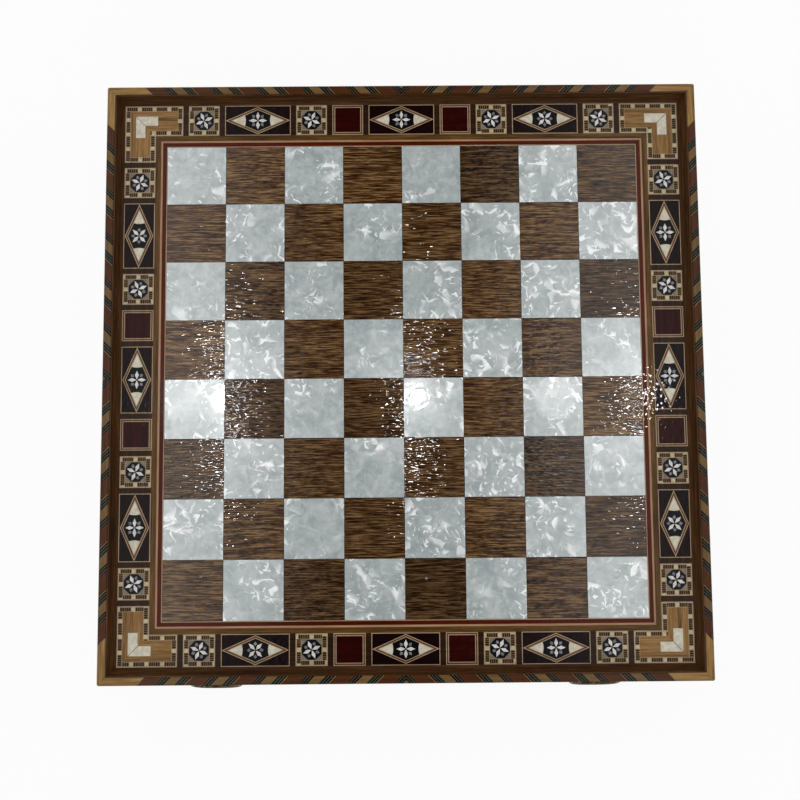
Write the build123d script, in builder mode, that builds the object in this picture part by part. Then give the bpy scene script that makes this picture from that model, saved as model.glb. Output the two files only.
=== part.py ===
# Chess box: inlaid board with a raised rim on a low case with two drawers.
# Millimetres, +Z up, front of the box towards -Y, underside of the feet at Z = 0.
import os
from math import cos, radians, sin

from build123d import *

os.makedirs("parts", exist_ok=True)

# board field
SQUARE = 40.0
SQUARES_PER_SIDE = 8
SQUARE_JOINT = 0.3
JOINT = 0.06

# border widths, from the field outwards
FIELD_LINE = 0.5
RED_LINE = 2.7
OUTER_LINE = 1.3
INNER_BAND = 3.8
MOSAIC = 21.0
MOULDING = 5.4
EDGING = 5.3

# mosaic tiles
CORNER_LEG = 39.6
SPACER = 3.84
OUTLINE = 0.5
LADDER = 3.2
BROWN_LINE = 0.9
CHEVRON_WIDTH = 6.4
CHEVRON_LEG = 15.0
CHEVRON_JOINT = 0.3
TIP_SHARE = 0.516
TIP_BULGE = 0.6
SHELL = 0.2

# case heights and thicknesses
FOOT_HEIGHT = 4.0
FOOT_RADIUS = 9.0
FOOT_SIDES = 20
FOOT_INSET = 22.0
BASE = 6.0
OPENING = 50.0
RAIL_LIP = 6.0
CORE = 10.0
VENEER = 1.2
RIM_RISE = 8.0
EDGING_DEPTH = 2.6
WALL = 10.0
PARTITION = 8.0
DADO = 3.0
TENON_LENGTH = 5.0
TENON_WIDTH = 3.0
CORNER_EASE = 1.0
CORNER_BLOCK = 25.0

# drawers
RUN_GAP = 0.5
FRONT_THICK = 10.0
FRONT_LAP = 4.0
SIDE_THICK = 8.0
SIDE_HEIGHT = 44.0
FINGERS = 5
BOTTOM_THICK = 4.0
BOTTOM_RISE = 4.0
GROOVE = 4.0
LINING = 1.0
LINING_GAP = 0.3
DIVIDER = 4.0
DIVIDER_HEIGHT = 28.0
CROSS_DIVIDERS = 3
FIT = 0.1

# pulls
PULL_X = 130.0
PULL_DROP = 36.2
POST_SPACING = 24.0
PIVOT_OUT = 4.4
POST_RADIUS = 2.6
POST_REACH = 7.0
POST_DOME = 1.2
POST_SIDES = 8
ROSETTE_RADIUS = 5.5
WIRE_RADIUS = 1.6
WIRE_SIDES = 8
PIN_CLEARANCE = 0.06
BAIL_DROP = 14.0
BAIL_TILT = 16.0
BAIL_BOW = 0.7
BOW_STEPS = 10

# distances of the border edges from the centre of the board
field = SQUARE * SQUARES_PER_SIDE / 2
line_1 = field + FIELD_LINE
line_2 = line_1 + RED_LINE
line_3 = line_2 + OUTER_LINE
mosaic_in = line_3 + INNER_BAND
mosaic_out = mosaic_in + MOSAIC
edging_in = mosaic_out + MOULDING
outer = edging_in + EDGING
wall_in = outer - WALL
rabbet = WALL - EDGING

# levels
base_low = FOOT_HEIGHT
base_top = base_low + BASE
opening_top = base_top + OPENING
core_low = opening_top + RAIL_LIP
core_top = core_low + CORE
board = core_top + VENEER
rim_top = board + RIM_RISE
wall_top = rim_top - EDGING_DEPTH

# places of the mosaic tiles along one side
mosaic_mid = (mosaic_in + mosaic_out) / 2
lozenge = (mosaic_out - CORNER_LEG - 3 * MOSAIC - 5 * SPACER) / 1.5
star_a = mosaic_out - CORNER_LEG - SPACER - MOSAIC / 2
lozenge_a = star_a - MOSAIC / 2 - SPACER - lozenge / 2
star_b = lozenge_a - lozenge / 2 - SPACER - MOSAIC / 2
red_a = star_b - MOSAIC - SPACER
star_places = [(s, mosaic_mid) for s in (-star_a, -star_b, star_b, star_a)]
lozenge_places = [(s, mosaic_mid) for s in (-lozenge_a, 0, lozenge_a)]
red_places = [(s, mosaic_mid) for s in (-red_a, red_a)]
spacer_half = [
    lozenge / 2 + SPACER / 2,
    red_a + MOSAIC / 2 + SPACER / 2,
    star_b + MOSAIC / 2 + SPACER / 2,
    lozenge_a + lozenge / 2 + SPACER / 2,
    star_a + MOSAIC / 2 + SPACER / 2,
]
spacer_places = [(sign * s, mosaic_mid) for s in spacer_half for sign in (-1, 1)]

# star flower
star_ground = MOSAIC - 2 * OUTLINE - 2 * LADDER
octagon = star_ground / 2 - 0.3
petal_tip = octagon * 0.95
petal = [
    (petal_tip * 0.05, 0),
    (petal_tip * 0.52, petal_tip * 0.21),
    (petal_tip, 0),
    (petal_tip * 0.52, -petal_tip * 0.21),
]
leaf = [
    (petal_tip * 0.44, 0),
    (petal_tip * 0.67, petal_tip * 0.19),
    (petal_tip * 0.9, 0),
    (petal_tip * 0.67, -petal_tip * 0.19),
]

# lozenge: half diagonals of the rhombus outside and inside its double line
loz_a = lozenge / 2 - OUTLINE
loz_b = MOSAIC / 2 - OUTLINE - 0.4
loz_h = loz_a * loz_b / (loz_a**2 + loz_b**2) ** 0.5
loz_s1 = (loz_h - OUTLINE) / loz_h
loz_s2 = (loz_h - OUTLINE - BROWN_LINE) / loz_h
loz_s3 = (loz_h - 2 * OUTLINE - BROWN_LINE) / loz_h
tip_x = TIP_SHARE * loz_s3 * loz_a
tip_y = (1 - TIP_SHARE) * loz_s3 * loz_b


def rhombus(scale):
    a = loz_a * scale
    b = loz_b * scale
    return [(a, 0), (0, b), (-a, 0), (0, -b)]


def ell(inset):
    far = mosaic_out - inset
    end = mosaic_out - CORNER_LEG + inset
    near = mosaic_in + inset
    return [(far, far), (end, far), (end, near), (near, near), (near, end), (far, end)]


def mitred(inside, outside):
    return [
        (inside - JOINT, inside),
        (outside - JOINT, outside),
        (JOINT - outside, outside),
        (JOINT - inside, inside),
    ]


skin = Plane.XY.offset(core_top)
shell_bed = Plane.XY.offset(board - SHELL)

# board core, dropped into the rabbet of walls and rails
with BuildPart() as top_core:
    with BuildSketch(Plane.XY.offset(core_low)):
        Rectangle(2 * (edging_in - FIT), 2 * (edging_in - FIT))
    extrude(amount=CORE)
top_core.part.label = "top_core"
export_step(top_core.part, "parts/top_core.step")

# squares of the field, pearl in the far left corner
pearl_places = []
walnut_places = []
for row in range(SQUARES_PER_SIDE):
    for col in range(SQUARES_PER_SIDE):
        place = (SQUARE * (col + 0.5) - field, field - SQUARE * (row + 0.5))
        if (row + col) % 2 == 0:
            pearl_places.append(place)
        else:
            walnut_places.append(place)

with BuildPart() as pearl_squares:
    with BuildSketch(skin):
        with Locations(*pearl_places):
            Rectangle(SQUARE - SQUARE_JOINT, SQUARE - SQUARE_JOINT)
    extrude(amount=VENEER)
pearl_squares.part.label = "pearl_squares"
export_step(pearl_squares.part, "parts/pearl_squares.step")

with BuildPart() as walnut_squares:
    with BuildSketch(skin):
        with Locations(*walnut_places):
            Rectangle(SQUARE - SQUARE_JOINT, SQUARE - SQUARE_JOINT)
    extrude(amount=VENEER)
walnut_squares.part.label = "walnut_squares"
export_step(walnut_squares.part, "parts/walnut_squares.step")

# stringing and inner band, four mitred lengths each
with BuildPart() as field_line:
    with BuildSketch(skin):
        with PolarLocations(0, 4):
            Polygon(*mitred(field, line_1), align=None)
    extrude(amount=VENEER)
field_line.part.label = "field_line"
export_step(field_line.part, "parts/field_line.step")

with BuildPart() as red_line:
    with BuildSketch(skin):
        with PolarLocations(0, 4):
            Polygon(*mitred(line_1, line_2), align=None)
    extrude(amount=VENEER)
red_line.part.label = "red_line"
export_step(red_line.part, "parts/red_line.step")

with BuildPart() as outer_line:
    with BuildSketch(skin):
        with PolarLocations(0, 4):
            Polygon(*mitred(line_2, line_3), align=None)
    extrude(amount=VENEER)
outer_line.part.label = "outer_line"
export_step(outer_line.part, "parts/outer_line.step")

with BuildPart() as inner_band:
    with BuildSketch(skin):
        with PolarLocations(0, 4):
            Polygon(*mitred(line_3, mosaic_in), align=None)
    extrude(amount=VENEER)
inner_band.part.label = "inner_band"
export_step(inner_band.part, "parts/inner_band.step")

# dark spacers between the mosaic tiles
with BuildPart() as band_spacers:
    with BuildSketch(skin):
        with PolarLocations(0, 4):
            with Locations(*spacer_places):
                Rectangle(SPACER, MOSAIC)
    extrude(amount=VENEER)
band_spacers.part.label = "band_spacers"
export_step(band_spacers.part, "parts/band_spacers.step")

# pale outlines: twice round each red tile, once round each lozenge panel, twice round its rhombus
with BuildPart() as pale_lines:
    with BuildSketch(skin):
        with PolarLocations(0, 4):
            with Locations(*red_places):
                Rectangle(MOSAIC, MOSAIC)
                Rectangle(MOSAIC - 2 * OUTLINE, MOSAIC - 2 * OUTLINE, mode=Mode.SUBTRACT)
                red_ring = MOSAIC - 2 * OUTLINE - 2 * BROWN_LINE
                Rectangle(red_ring, red_ring)
                Rectangle(red_ring - 2 * OUTLINE, red_ring - 2 * OUTLINE, mode=Mode.SUBTRACT)
            with Locations(*lozenge_places):
                Rectangle(lozenge, MOSAIC)
                Rectangle(lozenge - 2 * OUTLINE, MOSAIC - 2 * OUTLINE, mode=Mode.SUBTRACT)
    extrude(amount=VENEER)
pale_lines.part.label = "pale_lines"
export_step(pale_lines.part, "parts/pale_lines.step")

with BuildPart() as rhombus_lines:
    with BuildSketch(skin):
        with PolarLocations(0, 4):
            with Locations(*lozenge_places):
                Polygon(*rhombus(1), align=None)
                Polygon(*rhombus(loz_s1), align=None, mode=Mode.SUBTRACT)
                Polygon(*rhombus(loz_s2), align=None)
                Polygon(*rhombus(loz_s3), align=None, mode=Mode.SUBTRACT)
    extrude(amount=VENEER)
rhombus_lines.part.label = "rhombus_lines"
export_step(rhombus_lines.part, "parts/rhombus_lines.step")

# brown lines between the pale ones
with BuildPart() as brown_lines:
    with BuildSketch(skin):
        with PolarLocations(0, 4):
            with Locations(*red_places):
                Rectangle(MOSAIC - 2 * OUTLINE, MOSAIC - 2 * OUTLINE)
                Rectangle(red_ring, red_ring, mode=Mode.SUBTRACT)
            with Locations(*lozenge_places):
                Polygon(*rhombus(loz_s1), align=None)
                Polygon(*rhombus(loz_s2), align=None, mode=Mode.SUBTRACT)
    extrude(amount=VENEER)
brown_lines.part.label = "brown_lines"
export_step(brown_lines.part, "parts/brown_lines.step")

# red tiles
with BuildPart() as red_tiles:
    with BuildSketch(skin):
        with PolarLocations(0, 4):
            with Locations(*red_places):
                Rectangle(red_ring - 2 * OUTLINE, red_ring - 2 * OUTLINE)
    extrude(amount=VENEER)
red_tiles.part.label = "red_tiles"
export_step(red_tiles.part, "parts/red_tiles.step")

# star tiles: ladder frame with its outline, ground, black octagon under the shell
with BuildPart() as star_ladders:
    with BuildSketch(skin):
        with PolarLocations(0, 4):
            with Locations(*star_places):
                Rectangle(MOSAIC, MOSAIC)
                Rectangle(star_ground, star_ground, mode=Mode.SUBTRACT)
    extrude(amount=VENEER)
star_ladders.part.label = "star_ladders"
export_step(star_ladders.part, "parts/star_ladders.step")

with BuildPart() as star_grounds:
    with BuildSketch(skin):
        with PolarLocations(0, 4):
            with Locations(*star_places):
                Rectangle(star_ground, star_ground)
                RegularPolygon(octagon, 8, major_radius=False, rotation=22.5, mode=Mode.SUBTRACT)
    extrude(amount=VENEER)
star_grounds.part.label = "star_grounds"
export_step(star_grounds.part, "parts/star_grounds.step")

# turn of the flower in each tile: white petals point to octagon corners
star_turns = [22.5, 67.5, 22.5, 67.5]
lozenge_turns = [0, 0, 45]
white_spots = []
for place, turn in zip(star_places + lozenge_places, star_turns + lozenge_turns):
    for step in range(4):
        white_spots.append(Location((place[0], place[1], 0), (0, 0, turn + 90 * step)))
grey_spots = []
for place, turn in zip(star_places + lozenge_places, star_turns + lozenge_turns):
    for step in range(4):
        grey_spots.append(Location((place[0], place[1], 0), (0, 0, turn + 45 + 90 * step)))

with BuildPart() as white_petals:
    with BuildSketch(shell_bed):
        with PolarLocations(0, 4):
            with Locations(*white_spots):
                Polygon(*petal, align=None)
    extrude(amount=SHELL)
white_petals.part.label = "white_petals"
export_step(white_petals.part, "parts/white_petals.step")

with BuildPart() as grey_petals:
    with BuildSketch(shell_bed):
        with PolarLocations(0, 4):
            with Locations(*grey_spots):
                Polygon(*leaf, align=None)
    extrude(amount=SHELL)
grey_petals.part.label = "grey_petals"
export_step(grey_petals.part, "parts/grey_petals.step")

with BuildPart() as star_octagons:
    with BuildSketch(skin):
        with PolarLocations(0, 4):
            with Locations(*star_places):
                RegularPolygon(octagon, 8, major_radius=False, rotation=22.5)
    extrude(amount=VENEER - SHELL)
star_octagons.part.label = "star_octagons"
export_step(star_octagons.part, "parts/star_octagons.step")

# lozenge panels: dark ground, bone tips, black centre
with BuildPart() as lozenge_grounds:
    with BuildSketch(skin):
        with PolarLocations(0, 4):
            with Locations(*lozenge_places):
                Rectangle(lozenge - 2 * OUTLINE, MOSAIC - 2 * OUTLINE)
                Polygon(*rhombus(1), align=None, mode=Mode.SUBTRACT)
    extrude(amount=VENEER)
lozenge_grounds.part.label = "lozenge_grounds"
export_step(lozenge_grounds.part, "parts/lozenge_grounds.step")

with BuildSketch() as tip:
    with BuildLine():
        Polyline((tip_x, tip_y), (loz_s3 * loz_a, 0), (tip_x, -tip_y))
        ThreePointArc((tip_x, -tip_y), (tip_x - TIP_BULGE, 0), (tip_x, tip_y))
    make_face()

with BuildPart() as lozenge_tips:
    with BuildSketch(skin):
        with PolarLocations(0, 4):
            with Locations(*lozenge_places):
                with PolarLocations(0, 2):
                    add(tip.sketch)
    extrude(amount=VENEER)
lozenge_tips.part.label = "lozenge_tips"
export_step(lozenge_tips.part, "parts/lozenge_tips.step")

with BuildPart() as lozenge_centres:
    with BuildSketch(skin):
        with PolarLocations(0, 4):
            with Locations(*lozenge_places):
                Polygon(*rhombus(loz_s3), align=None)
                with PolarLocations(0, 2):
                    add(tip.sketch, mode=Mode.SUBTRACT)
    extrude(amount=VENEER - SHELL)
lozenge_centres.part.label = "lozenge_centres"
export_step(lozenge_centres.part, "parts/lozenge_centres.step")

# corner tiles: ladder frame, wood field, chevron of two bone bars
chevron_out = mosaic_mid + CHEVRON_WIDTH / 2
chevron_in = mosaic_mid - CHEVRON_WIDTH / 2
chevron_end = chevron_out - CHEVRON_LEG
chevron = [
    (chevron_out, chevron_out),
    (chevron_end, chevron_out),
    (chevron_end, chevron_in),
    (chevron_in, chevron_in),
    (chevron_in, chevron_end),
    (chevron_out, chevron_end),
]

with BuildPart() as corner_ladders:
    with BuildSketch(skin):
        with PolarLocations(0, 4):
            Polygon(*ell(0), align=None)
            Polygon(*ell(OUTLINE + LADDER), align=None, mode=Mode.SUBTRACT)
    extrude(amount=VENEER)
corner_ladders.part.label = "corner_ladders"
export_step(corner_ladders.part, "parts/corner_ladders.step")

with BuildPart() as corner_fields:
    with BuildSketch(skin):
        with PolarLocations(0, 4):
            Polygon(*ell(OUTLINE + LADDER), align=None)
            Polygon(*chevron, align=None, mode=Mode.SUBTRACT)
    extrude(amount=VENEER)
corner_fields.part.label = "corner_fields"
export_step(corner_fields.part, "parts/corner_fields.step")

slant = CHEVRON_JOINT / 2**0.5
chevron_bar = [
    (chevron_out - slant, chevron_out),
    (chevron_end, chevron_out),
    (chevron_end, chevron_in),
    (chevron_in - slant, chevron_in),
]
with BuildPart() as corner_chevrons:
    with BuildSketch(skin):
        with PolarLocations(0, 4):
            Polygon(*chevron_bar, align=None)
            Polygon(*[(y, x) for x, y in chevron_bar], align=None)
    extrude(amount=VENEER)
corner_chevrons.part.label = "corner_chevrons"
export_step(corner_chevrons.part, "parts/corner_chevrons.step")

# raised rim: hollow walnut moulding against the walls, on the edge of the core
foot_z = board + 0.3
head_z = rim_top - 0.6
head_y = edging_in - 0.9
hollow = ((mosaic_out + head_y) / 2 + 0.6, (foot_z + head_z) / 2 - 0.35)
with BuildPart() as moulding_length:
    with BuildSketch(Plane.YZ):
        with BuildLine():
            Polyline(
                (mosaic_out, foot_z),
                (mosaic_out, core_top),
                (edging_in, core_top),
                (edging_in, head_z),
                (head_y, head_z),
            )
            ThreePointArc((head_y, head_z), hollow, (mosaic_out, foot_z))
        make_face()
    extrude(amount=edging_in, both=True)
    split(bisect_by=Plane((-JOINT, 0, 0), z_dir=(-1, 1, 0)), keep=Keep.TOP)
    split(bisect_by=Plane((JOINT, 0, 0), z_dir=(1, 1, 0)), keep=Keep.TOP)

with BuildPart() as rim_moulding:
    with PolarLocations(0, 4):
        add(moulding_length.part)
rim_moulding.part.label = "rim_moulding"
export_step(rim_moulding.part, "parts/rim_moulding.step")

# outline of the case with its corners eased
near_corner = outer - CORNER_EASE
cut_square = []
for sx, sy in ((1, 1), (-1, 1), (-1, -1), (1, -1)):
    pair = [(sx * outer, sy * near_corner), (sx * near_corner, sy * outer)]
    cut_square += pair if sx == sy else pair[::-1]

# striped edging on top of walls and rails, cut off slantwise at the corner blocks
block_end = outer - CORNER_BLOCK
with BuildPart() as edging_length:
    with BuildSketch(Plane.XY.offset(wall_top)):
        Polygon(
            (JOINT, edging_in),
            (block_end - EDGING - JOINT, edging_in),
            (block_end - JOINT, outer),
            (JOINT, outer),
            align=None,
        )
    extrude(amount=EDGING_DEPTH)
    long_edges = edges().filter_by(Axis.X).group_by(Axis.Z)[-1]
    chamfer(long_edges.sort_by(Axis.Y)[-1], length=0.7)
    chamfer(edges().filter_by(Axis.X).group_by(Axis.Z)[-1].sort_by(Axis.Y)[0], length=0.4)

with BuildPart() as striped_edging:
    with PolarLocations(0, 4):
        add(edging_length.part)
        add(edging_length.part.mirror(Plane.YZ))
striped_edging.part.label = "striped_edging"
export_step(striped_edging.part, "parts/striped_edging.step")

with BuildPart() as block_length:
    with BuildSketch(Plane.XY.offset(wall_top)):
        Polygon(
            (block_end - EDGING, edging_in),
            (edging_in - JOINT, edging_in),
            (outer - JOINT, outer),
            (block_end, outer),
            align=None,
        )
        Polygon(*cut_square, align=None, mode=Mode.INTERSECT)
    extrude(amount=EDGING_DEPTH)
    top_edges = edges().filter_by(Axis.X).group_by(Axis.Z)[-1]
    chamfer(top_edges.sort_by(Axis.Y)[-1], length=0.7)

with BuildPart() as corner_blocks:
    with PolarLocations(0, 4):
        add(block_length.part)
        add(block_length.part.mirror(Plane.YZ))
corner_blocks.part.label = "corner_blocks"
export_step(corner_blocks.part, "parts/corner_blocks.step")

# walls: rabbet for the core and moulding, dado for the partition, mortises for the rails
tenon_mid_y = (outer + edging_in) / 2
tenon_low = opening_top + 2
tenon_high = wall_top - 2
wall_mid_x = outer - WALL / 2
with BuildPart() as right_wall:
    with BuildSketch(Plane.XY.offset(base_top)):
        with Locations((wall_mid_x, 0)):
            Rectangle(WALL, 2 * outer)
    extrude(amount=wall_top - base_top)
    upright = edges().filter_by(Axis.Z).group_by(Axis.X)[-1]
    chamfer(upright, length=CORNER_EASE)
    with BuildSketch(Plane.XY.offset(wall_top)):
        with Locations(((edging_in + wall_in) / 2, 0)):
            Rectangle(rabbet, 2 * edging_in)
    extrude(amount=core_low - wall_top, mode=Mode.SUBTRACT)
    with BuildSketch(Plane.XY.offset(base_top)):
        with Locations((wall_in + DADO / 2, 0)):
            Rectangle(DADO, PARTITION + FIT)
    extrude(amount=core_low - base_top, mode=Mode.SUBTRACT)
    with BuildSketch(Plane.XY.offset(tenon_low - FIT)):
        with Locations((wall_in + TENON_LENGTH / 2, tenon_mid_y), (wall_in + TENON_LENGTH / 2, -tenon_mid_y)):
            Rectangle(TENON_LENGTH + FIT, TENON_WIDTH + FIT)
    extrude(amount=tenon_high - tenon_low + 2 * FIT, mode=Mode.SUBTRACT)
right_wall.part.label = "right_wall"
export_step(right_wall.part, "parts/right_wall.step")

with BuildPart() as left_wall:
    add(right_wall.part.mirror(Plane.YZ))
left_wall.part.label = "left_wall"
export_step(left_wall.part, "parts/left_wall.step")

# top rails over the drawers, tenoned into the walls
with BuildPart() as rear_top_rail:
    with BuildSketch(Plane.XY.offset(opening_top)):
        with Locations((0, outer - WALL / 2)):
            Rectangle(2 * wall_in, WALL)
    extrude(amount=wall_top - opening_top)
    with BuildSketch(Plane.XY.offset(wall_top)):
        with Locations((0, (edging_in + wall_in) / 2)):
            Rectangle(2 * wall_in, rabbet)
    extrude(amount=core_low - wall_top, mode=Mode.SUBTRACT)
    with BuildSketch(Plane.XY.offset(tenon_low)):
        with Locations((0, tenon_mid_y)):
            Rectangle(2 * (wall_in + TENON_LENGTH), TENON_WIDTH)
    extrude(amount=tenon_high - tenon_low)
rear_top_rail.part.label = "rear_top_rail"
export_step(rear_top_rail.part, "parts/rear_top_rail.step")

with BuildPart() as front_top_rail:
    add(rear_top_rail.part, rotation=(0, 0, 180))
front_top_rail.part.label = "front_top_rail"
export_step(front_top_rail.part, "parts/front_top_rail.step")

# base panel glued under walls and partition, feet stuck on
foot_at = outer - FOOT_INSET
foot_places = [(x, y) for x in (-foot_at, foot_at) for y in (-foot_at, foot_at)]
with BuildPart() as base_panel:
    with BuildSketch(Plane.XY.offset(base_low)):
        Polygon(*cut_square, align=None)
    extrude(amount=BASE)
base_panel.part.label = "base_panel"
export_step(base_panel.part, "parts/base_panel.step")

with BuildPart() as feet:
    with BuildSketch():
        with Locations(*foot_places):
            RegularPolygon(FOOT_RADIUS, FOOT_SIDES)
    extrude(amount=FOOT_HEIGHT)
    chamfer(edges().group_by(Axis.Z)[0], length=0.6)
feet.part.label = "feet"
export_step(feet.part, "parts/feet.step")

# partition across the middle, stop for both drawers
with BuildPart() as centre_partition:
    with BuildSketch(Plane.XY.offset(base_top)):
        Rectangle(2 * (wall_in + DADO - FIT), PARTITION)
    extrude(amount=core_low - base_top)
centre_partition.part.label = "centre_partition"
export_step(centre_partition.part, "parts/centre_partition.step")

# front drawer: levels and outlines
drawer_x = wall_in - RUN_GAP
drawer_low = base_top + RUN_GAP
front_high = opening_top - RUN_GAP
front_in = FRONT_THICK - outer
drawer_end = -PARTITION / 2 - RUN_GAP
back_in = drawer_end - SIDE_THICK
side_in = drawer_x - SIDE_THICK
bottom_low = drawer_low + BOTTOM_RISE
bottom_high = bottom_low + BOTTOM_THICK
lap_y = FRONT_LAP - outer
pull_z = board - PULL_DROP
post_xs = [sign * PULL_X + half * POST_SPACING / 2 for sign in (-1, 1) for half in (-1, 1)]
finger = SIDE_HEIGHT / FINGERS
groove_z = bottom_low - FIT / 2

with BuildPart() as front_drawer_front:
    with BuildSketch(Plane.XZ.offset(-front_in)):
        with Locations((0, (drawer_low + front_high) / 2)):
            Rectangle(2 * drawer_x, front_high - drawer_low)
    extrude(amount=FRONT_THICK)
    chamfer(faces().sort_by(Axis.Y)[0].edges(), length=0.6)
    with BuildSketch(Plane.XY.offset(drawer_low)):
        for sign in (-1, 1):
            with Locations((sign * (drawer_x - SIDE_THICK / 2), (front_in + lap_y) / 2)):
                Rectangle(SIDE_THICK, front_in - lap_y)
    extrude(amount=SIDE_HEIGHT, mode=Mode.SUBTRACT)
    with BuildSketch(Plane.XY.offset(groove_z)):
        with Locations((0, front_in - GROOVE / 2)):
            Rectangle(2 * (side_in + GROOVE), GROOVE)
    extrude(amount=BOTTOM_THICK + FIT, mode=Mode.SUBTRACT)
front_drawer_front.part.label = "front_drawer_front"
export_step(front_drawer_front.part, "parts/front_drawer_front.step")

with BuildPart() as front_drawer_right:
    with BuildSketch(Plane.XY.offset(drawer_low)):
        with Locations((drawer_x - SIDE_THICK / 2, (lap_y + drawer_end) / 2)):
            Rectangle(SIDE_THICK, drawer_end - lap_y)
    extrude(amount=SIDE_HEIGHT)
    for step in range(1, FINGERS, 2):
        with BuildSketch(Plane.XY.offset(drawer_low + step * finger)):
            with Locations((drawer_x - SIDE_THICK / 2, drawer_end - SIDE_THICK / 2)):
                Rectangle(SIDE_THICK, SIDE_THICK)
        extrude(amount=finger, mode=Mode.SUBTRACT)
    with BuildSketch(Plane.XY.offset(groove_z)):
        with Locations((side_in + GROOVE / 2, (lap_y + back_in + GROOVE) / 2)):
            Rectangle(GROOVE, back_in + GROOVE - lap_y)
    extrude(amount=BOTTOM_THICK + FIT, mode=Mode.SUBTRACT)
front_drawer_right.part.label = "front_drawer_right"
export_step(front_drawer_right.part, "parts/front_drawer_right.step")

with BuildPart() as front_drawer_left:
    add(front_drawer_right.part.mirror(Plane.YZ))
front_drawer_left.part.label = "front_drawer_left"
export_step(front_drawer_left.part, "parts/front_drawer_left.step")

# back with fingers that lock into the notches of the sides
with BuildPart() as front_drawer_back:
    with BuildSketch(Plane.XY.offset(drawer_low)):
        with Locations((0, drawer_end - SIDE_THICK / 2)):
            Rectangle(2 * side_in, SIDE_THICK)
    extrude(amount=SIDE_HEIGHT)
    for step in range(1, FINGERS, 2):
        with BuildSketch(Plane.XY.offset(drawer_low + step * finger + JOINT)):
            with Locations((0, drawer_end - SIDE_THICK / 2)):
                Rectangle(2 * drawer_x, SIDE_THICK)
        extrude(amount=finger - 2 * JOINT)
    with BuildSketch(Plane.XY.offset(groove_z)):
        with Locations((0, back_in + GROOVE / 2)):
            Rectangle(2 * (side_in + GROOVE), GROOVE)
    extrude(amount=BOTTOM_THICK + FIT, mode=Mode.SUBTRACT)
front_drawer_back.part.label = "front_drawer_back"
export_step(front_drawer_back.part, "parts/front_drawer_back.step")

with BuildPart() as front_drawer_bottom:
    with BuildSketch(Plane.XY.offset(bottom_low)):
        with Locations((0, (front_in + back_in) / 2)):
            Rectangle(2 * (side_in + GROOVE - FIT), back_in - front_in + 2 * (GROOVE - FIT))
    extrude(amount=BOTTOM_THICK)
front_drawer_bottom.part.label = "front_drawer_bottom"
export_step(front_drawer_bottom.part, "parts/front_drawer_bottom.step")

with BuildPart() as front_drawer_lining:
    with BuildSketch(Plane.XY.offset(bottom_high)):
        with Locations((0, (front_in + back_in) / 2)):
            Rectangle(2 * (side_in - LINING_GAP), back_in - front_in - 2 * LINING_GAP)
    extrude(amount=LINING)
front_drawer_lining.part.label = "front_drawer_lining"
export_step(front_drawer_lining.part, "parts/front_drawer_lining.step")

# divider grid, one long strip half-lapped with the cross strips
grid_low = bottom_high + LINING
grid_mid = (front_in + back_in) / 2
cross_xs = [side_in * (2 * (k + 1) / (CROSS_DIVIDERS + 1) - 1) for k in range(CROSS_DIVIDERS)]
with BuildPart() as front_drawer_long_divider:
    with BuildSketch(Plane.XY.offset(grid_low)):
        with Locations((0, grid_mid)):
            Rectangle(2 * (side_in - FIT), DIVIDER)
    extrude(amount=DIVIDER_HEIGHT)
    with BuildSketch(Plane.XY.offset(grid_low + DIVIDER_HEIGHT / 2)):
        with Locations(*[(x, grid_mid) for x in cross_xs]):
            Rectangle(DIVIDER + FIT, DIVIDER)
    extrude(amount=DIVIDER_HEIGHT / 2, mode=Mode.SUBTRACT)
front_drawer_long_divider.part.label = "front_drawer_long_divider"
export_step(front_drawer_long_divider.part, "parts/front_drawer_long_divider.step")

with BuildPart() as front_drawer_cross_dividers:
    with BuildSketch(Plane.XY.offset(grid_low)):
        with Locations(*[(x, grid_mid) for x in cross_xs]):
            Rectangle(DIVIDER, back_in - front_in - 2 * FIT)
    extrude(amount=DIVIDER_HEIGHT)
    with BuildSketch(Plane.XY.offset(grid_low)):
        with Locations(*[(x, grid_mid) for x in cross_xs]):
            Rectangle(DIVIDER, DIVIDER + FIT)
    extrude(amount=DIVIDER_HEIGHT / 2, mode=Mode.SUBTRACT)
front_drawer_cross_dividers.part.label = "front_drawer_cross_dividers"
export_step(front_drawer_cross_dividers.part, "parts/front_drawer_cross_dividers.step")

# pull posts: stepped rosette, neck and domed end, with an eye for the bail
post_steps = [
    (0, ROSETTE_RADIUS),
    (0.6, ROSETTE_RADIUS),
    (2.2, POST_RADIUS),
    (POST_REACH - POST_DOME, POST_RADIUS),
    (POST_REACH, POST_RADIUS * 0.5),
]
with BuildPart() as post:
    for reach, radius in post_steps:
        with BuildSketch(Plane.XZ.offset(reach)):
            RegularPolygon(radius, POST_SIDES, rotation=180 / POST_SIDES)
    loft(ruled=True)
    with BuildSketch(Plane.YZ):
        with Locations((-PIVOT_OUT, 0)):
            eye = WIRE_RADIUS + PIN_CLEARANCE
            RegularPolygon(eye, WIRE_SIDES, major_radius=False)
    extrude(amount=ROSETTE_RADIUS, both=True, mode=Mode.SUBTRACT)

with BuildPart() as front_pull_posts:
    with Locations(*[(x, -outer, pull_z) for x in post_xs]):
        add(post.part)
front_pull_posts.part.label = "front_pull_posts"
export_step(front_pull_posts.part, "parts/front_pull_posts.step")

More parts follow.
